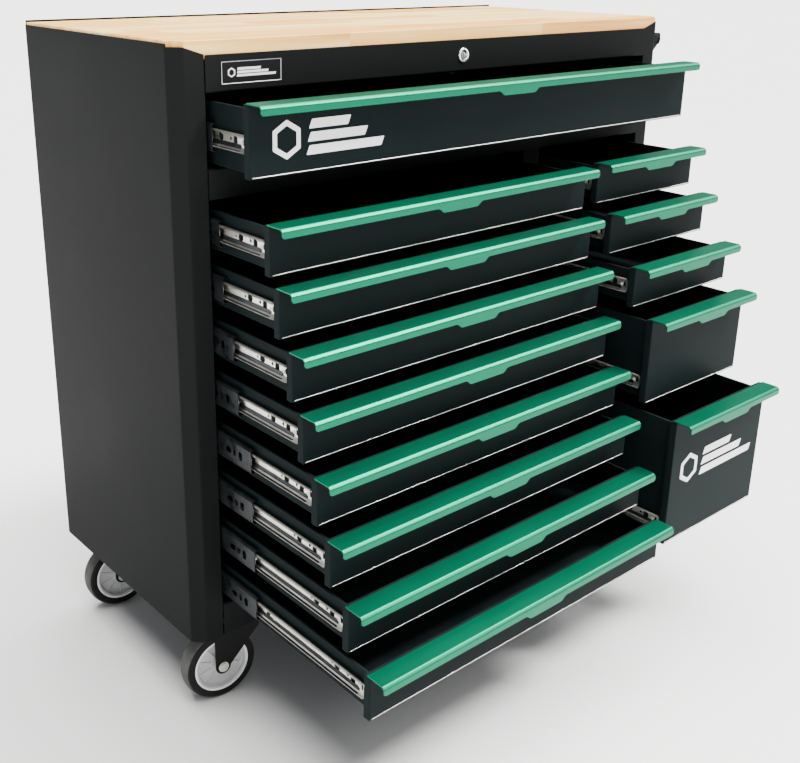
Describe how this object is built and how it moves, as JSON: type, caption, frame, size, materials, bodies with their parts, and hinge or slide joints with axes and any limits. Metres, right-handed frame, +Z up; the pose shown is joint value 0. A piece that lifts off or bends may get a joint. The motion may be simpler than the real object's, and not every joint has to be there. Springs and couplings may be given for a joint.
{
  "type": "rolling tool chest",
  "caption": "Rolling steel tool chest with two columns of drawers under a full-width one, wooden worktop, green pull strips, key lock, side push handle and casters.",
  "frame": {"origin": "the point on the floor under the middle of the cabinet", "axes": "+X to the right across the front, +Y to the back, +Z up"},
  "size_m": [1.094, 0.815, 1.058],
  "materials": {
    "shell_black": "satin black powder coat",
    "drawer_black": "satin black powder coat",
    "fitting_black": "black enamel",
    "slide_zinc": "bright zinc plate",
    "pull_green": "green anodised, satin",
    "worktop_wood": "lacquered laminated wood",
    "lock_chrome": "polished",
    "wheel_rubber": "matt rubber on a grey moulded core"
  },
  "bodies": {
    "cabinet": {"side_panels": "shell_black", "back_panel": "shell_black", "base_pan": "shell_black", "top_deck": "shell_black", "front_rails": "shell_black", "centre_divider": "shell_black", "worktop": "worktop_wood", "push_handle": "fitting_black", "lock_housing": "lock_chrome", "slide_rails": "slide_zinc", "caster_brackets": "fitting_black"},
    "lock_plug": {"lock_plug": "lock_chrome"},
    "drawer_top": {"drawer_top": "drawer_black", "pull_top": "pull_green"},
    "middle_top": {"slide_middle_top": "slide_zinc"},
    "drawer_left_1": {"drawer_left_1": "drawer_black", "pull_left_1": "pull_green"},
    "middle_left_1": {"slide_middle_left_1": "slide_zinc"},
    "drawer_left_2": {"drawer_left_2": "drawer_black", "pull_left_2": "pull_green"},
    "middle_left_2": {"slide_middle_left_2": "slide_zinc"},
    "drawer_left_3": {"drawer_left_3": "drawer_black", "pull_left_3": "pull_green"},
    "middle_left_3": {"slide_middle_left_3": "slide_zinc"},
    "drawer_left_4": {"drawer_left_4": "drawer_black", "pull_left_4": "pull_green"},
    "middle_left_4": {"slide_middle_left_4": "slide_zinc"},
    "drawer_left_5": {"drawer_left_5": "drawer_black", "pull_left_5": "pull_green"},
    "middle_left_5": {"slide_middle_left_5": "slide_zinc"},
    "drawer_left_6": {"drawer_left_6": "drawer_black", "pull_left_6": "pull_green"},
    "middle_left_6": {"slide_middle_left_6": "slide_zinc"},
    "drawer_left_7": {"drawer_left_7": "drawer_black", "pull_left_7": "pull_green"},
    "middle_left_7": {"slide_middle_left_7": "slide_zinc"},
    "drawer_left_8": {"drawer_left_8": "drawer_black", "pull_left_8": "pull_green"},
    "middle_left_8": {"slide_middle_left_8": "slide_zinc"},
    "drawer_right_1": {"drawer_right_1": "drawer_black", "pull_right_1": "pull_green"},
    "middle_right_1": {"slide_middle_right_1": "slide_zinc"},
    "drawer_right_2": {"drawer_right_2": "drawer_black", "pull_right_2": "pull_green"},
    "middle_right_2": {"slide_middle_right_2": "slide_zinc"},
    "drawer_right_3": {"drawer_right_3": "drawer_black", "pull_right_3": "pull_green"},
    "middle_right_3": {"slide_middle_right_3": "slide_zinc"},
    "drawer_right_4": {"drawer_right_4": "drawer_black", "pull_right_4": "pull_green"},
    "middle_right_4": {"slide_middle_right_4": "slide_zinc"},
    "drawer_right_5": {"drawer_right_5": "drawer_black", "pull_right_5": "pull_green"},
    "middle_right_5": {"slide_middle_right_5": "slide_zinc"},
    "fork_front_left": {"caster_fork_front_left": "fitting_black"},
    "wheel_front_left": {"caster_wheel_front_left": "wheel_rubber"},
    "fork_rear_left": {"caster_fork_rear_left": "fitting_black"},
    "wheel_rear_left": {"caster_wheel_rear_left": "wheel_rubber"},
    "wheel_front_right": {"caster_wheel_front_right": "wheel_rubber"},
    "wheel_rear_right": {"caster_wheel_rear_right": "wheel_rubber"}
  },
  "joints": [
    {"name": "lock_turn", "type": "hinge", "parent": "cabinet", "child": "lock_plug", "pos_m": [0, -0.221, 1.012], "axis": [0, 1, 0], "range_deg": [0, 90]},
    {"name": "drawer_top_slide", "type": "slide", "parent": "cabinet", "child": "drawer_top", "axis": [0, -1, 0], "range_m": [-0.096, 0.284]},
    {"name": "middle_top_slide", "type": "slide", "parent": "cabinet", "child": "middle_top", "axis": [0, -1, 0], "range_m": [-0.024, 0.071]},
    {"name": "drawer_left_1_slide", "type": "slide", "parent": "cabinet", "child": "drawer_left_1", "axis": [0, -1, 0], "range_m": [-0.137, 0.243]},
    {"name": "middle_left_1_slide", "type": "slide", "parent": "cabinet", "child": "middle_left_1", "axis": [0, -1, 0], "range_m": [-0.03425, 0.06075]},
    {"name": "drawer_left_2_slide", "type": "slide", "parent": "cabinet", "child": "drawer_left_2", "axis": [0, -1, 0], "range_m": [-0.156, 0.224]},
    {"name": "middle_left_2_slide", "type": "slide", "parent": "cabinet", "child": "middle_left_2", "axis": [0, -1, 0], "range_m": [-0.039, 0.056]},
    {"name": "drawer_left_3_slide", "type": "slide", "parent": "cabinet", "child": "drawer_left_3", "axis": [0, -1, 0], "range_m": [-0.182, 0.198]},
    {"name": "middle_left_3_slide", "type": "slide", "parent": "cabinet", "child": "middle_left_3", "axis": [0, -1, 0], "range_m": [-0.06188, 0.06732]},
    {"name": "drawer_left_4_slide", "type": "slide", "parent": "cabinet", "child": "drawer_left_4", "axis": [0, -1, 0], "range_m": [-0.205, 0.175]},
    {"name": "middle_left_4_slide", "type": "slide", "parent": "cabinet", "child": "middle_left_4", "axis": [0, -1, 0], "range_m": [-0.0697, 0.0595]},
    {"name": "drawer_left_5_slide", "type": "slide", "parent": "cabinet", "child": "drawer_left_5", "axis": [0, -1, 0], "range_m": [-0.234, 0.146]},
    {"name": "middle_left_5_slide", "type": "slide", "parent": "cabinet", "child": "middle_left_5", "axis": [0, -1, 0], "range_m": [-0.09828, 0.06132]},
    {"name": "drawer_left_6_slide", "type": "slide", "parent": "cabinet", "child": "drawer_left_6", "axis": [0, -1, 0], "range_m": [-0.262, 0.118]},
    {"name": "middle_left_6_slide", "type": "slide", "parent": "cabinet", "child": "middle_left_6", "axis": [0, -1, 0], "range_m": [-0.09956, 0.04484]},
    {"name": "drawer_left_7_slide", "type": "slide", "parent": "cabinet", "child": "drawer_left_7", "axis": [0, -1, 0], "range_m": [-0.3, 0.08]},
    {"name": "middle_left_7_slide", "type": "slide", "parent": "cabinet", "child": "middle_left_7", "axis": [0, -1, 0], "range_m": [-0.102, 0.0272]},
    {"name": "drawer_left_8_slide", "type": "slide", "parent": "cabinet", "child": "drawer_left_8", "axis": [0, -1, 0], "range_m": [-0.345, 0.035]},
    {"name": "middle_left_8_slide", "type": "slide", "parent": "cabinet", "child": "middle_left_8", "axis": [0, -1, 0], "range_m": [-0.1035, 0.0105]},
    {"name": "drawer_right_1_slide", "type": "slide", "parent": "cabinet", "child": "drawer_right_1", "axis": [0, -1, 0], "range_m": [-0.128, 0.252]},
    {"name": "middle_right_1_slide", "type": "slide", "parent": "cabinet", "child": "middle_right_1", "axis": [0, -1, 0], "range_m": [-0.032, 0.063]},
    {"name": "drawer_right_2_slide", "type": "slide", "parent": "cabinet", "child": "drawer_right_2", "axis": [0, -1, 0], "range_m": [-0.163, 0.217]},
    {"name": "middle_right_2_slide", "type": "slide", "parent": "cabinet", "child": "middle_right_2", "axis": [0, -1, 0], "range_m": [-0.04075, 0.05425]},
    {"name": "drawer_right_3_slide", "type": "slide", "parent": "cabinet", "child": "drawer_right_3", "axis": [0, -1, 0], "range_m": [-0.22, 0.16]},
    {"name": "middle_right_3_slide", "type": "slide", "parent": "cabinet", "child": "middle_right_3", "axis": [0, -1, 0], "range_m": [-0.0748, 0.0544]},
    {"name": "drawer_right_4_slide", "type": "slide", "parent": "cabinet", "child": "drawer_right_4", "axis": [0, -1, 0], "range_m": [-0.263, 0.117]},
    {"name": "middle_right_4_slide", "type": "slide", "parent": "cabinet", "child": "middle_right_4", "axis": [0, -1, 0], "range_m": [-0.08942, 0.03978]},
    {"name": "drawer_right_5_slide", "type": "slide", "parent": "cabinet", "child": "drawer_right_5", "axis": [0, -1, 0], "range_m": [-0.329, 0.051]},
    {"name": "middle_right_5_slide", "type": "slide", "parent": "cabinet", "child": "middle_right_5", "axis": [0, -1, 0], "range_m": [-0.0987, 0.0153]},
    {"name": "swivel_front_left", "type": "hinge", "parent": "cabinet", "child": "fork_front_left", "pos_m": [-0.429, -0.17, 0.14], "axis": [0, 0, 1], "continuous": true},
    {"name": "roll_front_left", "type": "hinge", "parent": "fork_front_left", "child": "wheel_front_left", "pos_m": [-0.45778, -0.16647, 0.0625], "axis": [0.1219, 0.9925, 0], "continuous": true},
    {"name": "swivel_rear_left", "type": "hinge", "parent": "cabinet", "child": "fork_rear_left", "pos_m": [-0.429, 0.17, 0.14], "axis": [0, 0, 1], "continuous": true},
    {"name": "roll_rear_left", "type": "hinge", "parent": "fork_rear_left", "child": "wheel_rear_left", "pos_m": [-0.45789, 0.17253, 0.0625], "axis": [0.0872, 0.9962, 0], "continuous": true},
    {"name": "roll_front_right", "type": "hinge", "parent": "cabinet", "child": "wheel_front_right", "pos_m": [0.429, -0.17, 0.0625], "axis": [0, 1, 0], "continuous": true},
    {"name": "roll_rear_right", "type": "hinge", "parent": "cabinet", "child": "wheel_rear_right", "pos_m": [0.429, 0.17, 0.0625], "axis": [0, 1, 0], "continuous": true}
  ],
  "couplings": [
    {"joint": "middle_top_slide", "follows": "drawer_top_slide", "ratio": 0.25},
    {"joint": "middle_left_1_slide", "follows": "drawer_left_1_slide", "ratio": 0.25},
    {"joint": "middle_left_2_slide", "follows": "drawer_left_2_slide", "ratio": 0.25},
    {"joint": "middle_left_3_slide", "follows": "drawer_left_3_slide", "ratio": 0.34},
    {"joint": "middle_left_4_slide", "follows": "drawer_left_4_slide", "ratio": 0.34},
    {"joint": "middle_left_5_slide", "follows": "drawer_left_5_slide", "ratio": 0.42},
    {"joint": "middle_left_6_slide", "follows": "drawer_left_6_slide", "ratio": 0.38},
    {"joint": "middle_left_7_slide", "follows": "drawer_left_7_slide", "ratio": 0.34},
    {"joint": "middle_left_8_slide", "follows": "drawer_left_8_slide", "ratio": 0.3},
    {"joint": "middle_right_1_slide", "follows": "drawer_right_1_slide", "ratio": 0.25},
    {"joint": "middle_right_2_slide", "follows": "drawer_right_2_slide", "ratio": 0.25},
    {"joint": "middle_right_3_slide", "follows": "drawer_right_3_slide", "ratio": 0.34},
    {"joint": "middle_right_4_slide", "follows": "drawer_right_4_slide", "ratio": 0.34},
    {"joint": "middle_right_5_slide", "follows": "drawer_right_5_slide", "ratio": 0.3}
  ]
}
